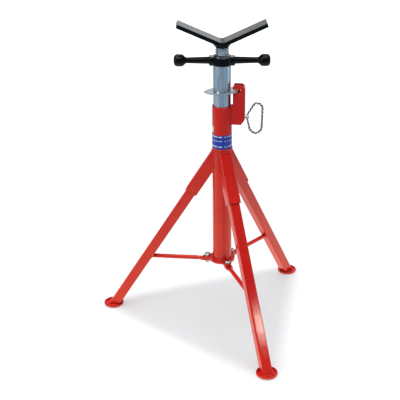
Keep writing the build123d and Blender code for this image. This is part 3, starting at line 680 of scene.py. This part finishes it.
def rounded_loop(corners, bend, arc_steps, stations):
    """Closed path through a polygon with every corner replaced by an arc of radius bend, or less
    where its sides are short, resampled at equal steps of its length. Returns the points and
    the whole length."""
    before = np.roll(corners, 1, axis=0) - corners
    after = np.roll(corners, -1, axis=0) - corners
    side_in, side_out = np.linalg.norm(before, axis=1), np.linalg.norm(after, axis=1)
    before, after = before / side_in[:, None], after / side_out[:, None]
    half = np.arccos(np.clip(np.sum(before * after, axis=1), -1, 1)) / 2
    back = np.minimum(bend / np.tan(half), most_of_a_side * np.minimum(side_in, side_out))
    s = np.linspace(0.0, 1.0, arc_steps)[None, :, None]
    arc_start = (corners + before * back[:, None])[:, None]
    arc_end = (corners + after * back[:, None])[:, None]
    pull = 2 * s * (1 - s) * np.sin(half)[:, None, None]
    arc = (((1 - s) ** 2 * arc_start + pull * corners[:, None] + s ** 2 * arc_end)
           / ((1 - s) ** 2 + pull + s ** 2))
    path = arc.reshape(-1, corners.shape[1])
    path = np.concatenate([path, path[:1]])
    run = np.concatenate([[0.0], np.cumsum(np.linalg.norm(np.diff(path, axis=0), axis=1))])
    even = np.linspace(0.0, run[-1], stations + 1)
    return np.stack([np.interp(even, run, column) for column in path.T], axis=-1), run[-1]


flat_ring, ring_length = rounded_loop(ring_corners, ring_bends, bend_steps, ring_stations)
ring_path = np.stack([flat_ring[:, 0], 0 * flat_ring[:, 0], flat_ring[:, 1]], axis=-1) + ring_root
print("rope length in mm", round(ring_length / MM, 1))

# %% Strands of the pull ring
strand_r, strand_offset = 1.20 * MM, 1.35 * MM
lay_turns, wire_turns, strand_columns = 7, -20, 24
squeezed_to, open_from, open_swell = 12.0 * MM, 30.0 * MM, 1.22
lobe_depth, lobe_power = 0.14, 0.7
# painted highlight on each strand's outside, and painted shade in the valleys between its wires
highlight_from, highlight_rate, valley_shade_depth = 0.60, 6.0, 0.4


def along(path):
    """Unit tangents of a closed path whose last point repeats the first."""
    step = np.roll(path[:-1], -1, axis=0) - np.roll(path[:-1], 1, axis=0)
    return unit(np.concatenate([step, step[:1]]))


def strand(path, swell, lead):
    """One strand wound round a closed path in the plane y = 0: its centre is the path plus a
    circle of radius strand_offset that turns lay_turns times, starting at the share lead of a
    turn, and its section is a circle of radius strand_r with six lobes that twist wire_turns
    times. swell multiplies both radii at each point of the path. Returns the points and how lit
    each is: a painted highlight on the strand's outside and painted shade in the valleys."""
    share = np.linspace(0.0, 1.0, len(path))
    across = np.broadcast_to([0.0, 1.0, 0.0], path.shape)
    inwards = np.cross(along(path), across)
    turn = 2 * np.pi * (lay_turns * share + lead)
    out = inwards * np.cos(turn)[:, None] + across * np.sin(turn)[:, None]
    centre = path + strand_offset * swell[:, None] * out
    direction = along(centre)
    out = square_to(out, direction)
    spin = full_turn(strand_columns)
    lobes = np.abs(np.sin(3 * (spin[None, :] - 2 * np.pi * wire_turns * share[:, None])))
    radius = strand_r * swell[:, None] * (1 - lobe_depth + lobe_depth * lobes ** lobe_power)
    # painted light: bright where the strand faces out, dark in the valleys between the wires
    clean_and_lit = np.clip(highlight_rate * (np.cos(spin)[None, :] - highlight_from)
                    - valley_shade_depth * (1 - lobes), 0, 1)
    return section_round(centre, radius, spin, out, np.cross(direction, out)), clean_and_lit


swell = np.interp(np.linalg.norm(ring_path - ring_root, axis=1), [squeezed_to, open_from],
                  [1.0, open_swell])
strands = [strand(ring_path, swell, k / 3) for k in range(3)]
# the second list carries each strand's painted highlight and shade
pull_ring = surface("rope_ring", [points for points, clean_and_lit in strands], rope_steel, "pull_ring",
                    60.0, [clean_and_lit for points, clean_and_lit in strands])
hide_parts("pull_ring")

# %% [markdown]
# ## Weld beads
# The tripod is welded all round, and the beads show through the powder coat as a ridge of
# overlapping ripples. CAD leaves a hair of air at each welded joint instead. A bead is a tube
# carried along the line where two parts meet. Its radius swells and falls with every ripple, and
# the ripples lag in the middle of the bead, as molten metal does behind the torch.

# %% Bead helpers
stations_a_ripple, least_stations, least_ripples = 6, 12, 3
ripple_lag, ripple_base, ripple_swell = 0.45, 0.94, 0.13
taper_power = 12
wide_columns, narrow_columns = 14, 12
corner_steps, outline_stations = 10, 96
bead_sharp = 60.0


def bead(path, out, r, ripple, columns, closed=True):
    """Rippled tube along a path: section radius r times a row of arches, each a ripple long,
    which lag in the middle of the bead. out is the direction the bead faces at each point. An
    open bead tapers to a point at both ends."""
    length = np.concatenate([[0.0], np.cumsum(np.linalg.norm(np.diff(path, axis=0), axis=1))])
    stations = max(int(length[-1] / ripple * stations_a_ripple), least_stations)
    even = np.linspace(0.0, length[-1], stations + 1)
    path = np.stack([np.interp(even, length, column) for column in path.T], axis=-1)
    out = np.stack([np.interp(even, length, column) for column in out.T], axis=-1)
    if closed:
        tangent = along(path)
        path[-1] = path[0]
        out[-1] = out[0]
    else:
        tangent = unit(np.gradient(path, axis=0))
    out = square_to(out, tangent)
    spin = full_turn(columns)
    count = max(round(length[-1] / ripple), least_ripples)
    phase = np.mod(count * even[:, None] / length[-1] - ripple_lag * np.cos(spin)[None, :], 1.0)
    radius = r * (ripple_base + ripple_swell * np.sin(np.pi * phase))
    if not closed:
        taper = np.sqrt(np.clip(1 - (2 * even / length[-1] - 1) ** taper_power, 0, 1))
        radius = radius * taper[:, None]
    return section_round(path, radius, spin, out, np.cross(tangent, out))


def set_at(azimuth, r, tangential, z):
    """Points from distances outwards, along the tangent and up, at a leg's azimuth."""
    a = math.radians(azimuth)
    outwards = np.array([math.cos(a), math.sin(a), 0.0])
    tangent = np.array([-math.sin(a), math.cos(a), 0.0])
    up = np.array([0.0, 0.0, 1.0])
    r, tangential, z = np.broadcast_arrays(r, tangential, z)
    return r[:, None] * outwards + tangential[:, None] * tangent + z[:, None] * up


def rounded_square(half_a, half_b, corner_r):
    """Closed outline of a rounded rectangle, as two rows of coordinates."""
    corners = np.array([[half_a, half_b], [-half_a, half_b], [-half_a, -half_b],
                        [half_a, -half_b]])
    loop, _ = rounded_loop(corners, corner_r, corner_steps, outline_stations)
    return loop[:, 0], loop[:, 1]


tube_r = 24.15 * MM
foot_circle = 299.7 * MM
leg_tilt = math.radians(32.0)
leg_azimuths = (180.0, 300.0, 60.0)
print("bead helpers ready")

# %% Beads of the sockets
socket_half, socket_corner = 16.0 * MM, 4.0 * MM
socket_bead_r, socket_ripple = 2.3 * MM, 2.6 * MM
u, v = rounded_square(socket_half, socket_half, socket_corner)
meet_r = np.sqrt(tube_r ** 2 - u ** 2)
line_r = meet_r - v * math.cos(leg_tilt)
meet_z = (foot_circle - line_r) / math.tan(leg_tilt) + v * math.sin(leg_tilt)
socket_beads = []
for azimuth in leg_azimuths:
    path = set_at(azimuth, meet_r, u, meet_z)
    from_tube = set_at(azimuth, meet_r / tube_r, u / tube_r, 0.0)
    from_socket = unit(set_at(azimuth, v * math.cos(leg_tilt), u, v * math.sin(leg_tilt)))
    socket_beads.append(bead(path, from_tube + from_socket, socket_bead_r, socket_ripple,
                             wide_columns))
surface("socket_welds", socket_beads, red, "frame", bead_sharp)

# %% Beads of the tube's foot and of the channel
foot_weld_r, foot_weld_z = tube_r + 0.4 * MM, 172.3 * MM
foot_weld_bead_r, foot_weld_ripple = 2.2 * MM, 2.8 * MM
round_tube = np.linspace(0.0, 2 * np.pi, 145)
foot_path = np.stack([foot_weld_r * np.cos(round_tube), foot_weld_r * np.sin(round_tube),
                      foot_weld_z + 0 * round_tube], axis=-1)
foot_out = np.stack([np.cos(round_tube), np.sin(round_tube), 1 + 0 * round_tube], axis=-1)
surface("tube_foot_weld",
        [bead(foot_path, foot_out, foot_weld_bead_r, foot_weld_ripple, wide_columns)], red,
        "frame", bead_sharp)
channel_x, channel_half, channel_lean = 22.2 * MM, 10.2 * MM, 0.45
channel_low, channel_high, channel_points = 545.0, 585.5, 30
channel_bead_r, channel_ripple = 1.9 * MM, 2.4 * MM
seam_z = np.linspace(channel_low, channel_high, channel_points) * MM
channel_beads = []
for side in (-1.0, 1.0):
    path = np.stack([channel_x + 0 * seam_z, side * channel_half + 0 * seam_z, seam_z], axis=-1)
    out = np.stack([channel_lean + 0 * seam_z, side + 0 * seam_z, 0 * seam_z], axis=-1)
    channel_beads.append(bead(path, out, channel_bead_r, channel_ripple, wide_columns, False))
surface("channel_welds", channel_beads, red, "frame", bead_sharp)

# %% Beads of the braces and the feet
brace_r, brace_end_z, brace_lean = 5.5 * MM, 158.5 * MM, -0.9
brace_bead_r, brace_ripple = 1.7 * MM, 2.2 * MM
leg_half, leg_corner = 12.7 * MM, 3.5 * MM
foot_top_z, foot_bead_z, foot_bead_lift = 3.0 * MM, 3.2 * MM, 10.0 * MM
foot_bead_r, foot_ripple = 2.0 * MM, 2.4 * MM
half_across = leg_half / math.cos(leg_tilt)
ring = np.linspace(0.0, 2 * np.pi, 73)
brace_z = brace_end_z + brace_r * np.cos(ring)
brace_path_r = foot_circle - brace_z * math.tan(leg_tilt) - half_across
foot_u, foot_w = rounded_square(half_across, leg_half, leg_corner)
foot_r0 = foot_circle - foot_top_z * math.tan(leg_tilt)
brace_beads, foot_beads = [], []
for azimuth in leg_azimuths:
    path = set_at(azimuth, brace_path_r, brace_r * np.sin(ring), brace_z)
    out = set_at(azimuth, brace_lean + 0 * ring, np.sin(ring), np.cos(ring))
    brace_beads.append(bead(path, out, brace_bead_r, brace_ripple, narrow_columns))
    path = set_at(azimuth, foot_r0 + foot_u, foot_w, foot_bead_z)
    out = set_at(azimuth, foot_u, foot_w, foot_bead_lift + 0 * foot_w)
    foot_beads.append(bead(path, out, foot_bead_r, foot_ripple, narrow_columns))
surface("brace_welds", brace_beads, red, "frame", bead_sharp)
surface("foot_welds", foot_beads, red, "frame", bead_sharp)

# %% Bead under the vee
vee_turn, vee_slope = math.radians(11.0), math.radians(24.0)
vee_point_z, upper_bend_r, under_r, neck_r = 744.8 * MM, 20.0 * MM, 29.5 * MM, 21.0 * MM
neck_bead_r, neck_ripple, neck_lean = 1.8 * MM, 2.4 * MM, -0.8
bend_centre_z = vee_point_z + upper_bend_r / math.cos(vee_slope)
bend_reach = under_r * math.sin(vee_slope)
neck_x, neck_y = neck_r * np.cos(ring), neck_r * np.sin(ring)
from_middle = np.abs(neck_x)
bent_z = bend_centre_z - np.sqrt(under_r ** 2 - np.minimum(from_middle, bend_reach) ** 2)
flat_z = (bend_centre_z - under_r * math.cos(vee_slope)
          + (from_middle - bend_reach) * math.tan(vee_slope))
neck_path = np.stack([neck_x * math.cos(vee_turn) - neck_y * math.sin(vee_turn),
                      neck_x * math.sin(vee_turn) + neck_y * math.cos(vee_turn),
                      np.where(from_middle < bend_reach, bent_z, flat_z)], axis=-1)
neck_out = np.stack([np.cos(ring + vee_turn), np.sin(ring + vee_turn), neck_lean + 0 * ring],
                    axis=-1)
surface("vee_weld", [bead(neck_path, neck_out, neck_bead_r, neck_ripple, narrow_columns)], black,
        "vee_head", bead_sharp)

# %% [markdown]
# ## Label band
# A printed film is wrapped round the outer tube above the sockets. What is printed on the real
# one is left off: here it is a plain blue band with broken white rules. It is a real sheet a
# fifth of a millimetre thick, so its edge catches the light, and it stops short of a full turn,
# as such a film does. A worn white tab of the same film sits above it.


# %% Label finish
def label_film(name, low_z, high_z, dark, pale, broken_rules):
    """Film between two tones, with broken white rules across it, each between two shares of the
    film's height."""
    rule_white, wrinkle_depth = (0.80, 0.82, 0.84, 1.0), 0.1 * MM
    material, tree, shader, place = new_finish(name)
    share = ranged(tree, height_of(tree, place), low_z, high_z)
    scuffs = ranged(tree, noise(tree, place, 300.0, 4.0, 0.6), 0.62, 0.75, 1.0, 0.6)
    body = mixed(tree, ranged(tree, noise(tree, place, 60.0, 3.0), 0.3, 0.7), dark, pale)
    dashes = ranged(tree, noise(tree, place, 330.0, 1.0, 0.5, (1.0, 1.0, 0.0)), 0.44, 0.47)
    for low, high in broken_rules:
        rule = product(tree, maths(tree, "GREATER_THAN", share, low),
                       maths(tree, "LESS_THAN", share, high), dashes, scuffs)
        body = mixed(tree, rule, body, rule_white)
    rough = ranged(tree, scuffs, 0.6, 1.0, 0.45, 0.28)
    coat(tree, shader, body, rough, noise(tree, place, 500.0, 2.0), 0.15, wrinkle_depth)
    return material


label_low, label_high = 480.0 * MM, 516.0 * MM
tab_low, tab_high = 521.5 * MM, 537.0 * MM
blue_film = label_film("blue_film", label_low, label_high, (0.008, 0.034, 0.34, 1.0),
                       (0.012, 0.046, 0.42, 1.0), ((0.15, 0.22), (0.57, 0.61), (0.86, 0.93)))
white_film = label_film("white_film", tab_low, tab_high, (0.74, 0.75, 0.76, 1.0),
                        (0.82, 0.83, 0.84, 1.0), ())
print("made", blue_film.name, white_film.name)

# %% Label band
film_gap, film_thickness = 0.05 * MM, 0.20 * MM
film_in, film_out = tube_r + film_gap, tube_r + film_gap + film_thickness
degrees_a_step = 1.8
front = -81.0                        # azimuth of the camera
band_reach, tab_start, tab_end = 125.0, -134.0, -58.0


def wrapped_film(name, first, last, low_z, high_z, material):
    """Closed sheet round the tube: r = film_in or film_out, azimuths first to last in degrees
    and heights low_z to high_z."""
    wrap = np.radians(np.linspace(first, last, 2 + int((last - first) / degrees_a_step)))
    r = np.array([film_in, film_out, film_out, film_in, film_in])[:, None]
    z = np.array([low_z, low_z, high_z, high_z, low_z])[:, None]
    sheet = np.stack([r * np.cos(wrap), r * np.sin(wrap), z + 0 * wrap], axis=-1)
    ends = [np.stack([sheet[[0, 1], k], sheet[[3, 2], k]]) for k in (0, -1)]
    return surface(name, [sheet] + ends, material, "frame", 30.0)


wrapped_film("label_band", front - band_reach, front + band_reach, label_low, label_high,
             blue_film)
wrapped_film("label_tab", front + tab_start, front + tab_end, tab_low, tab_high, white_film)
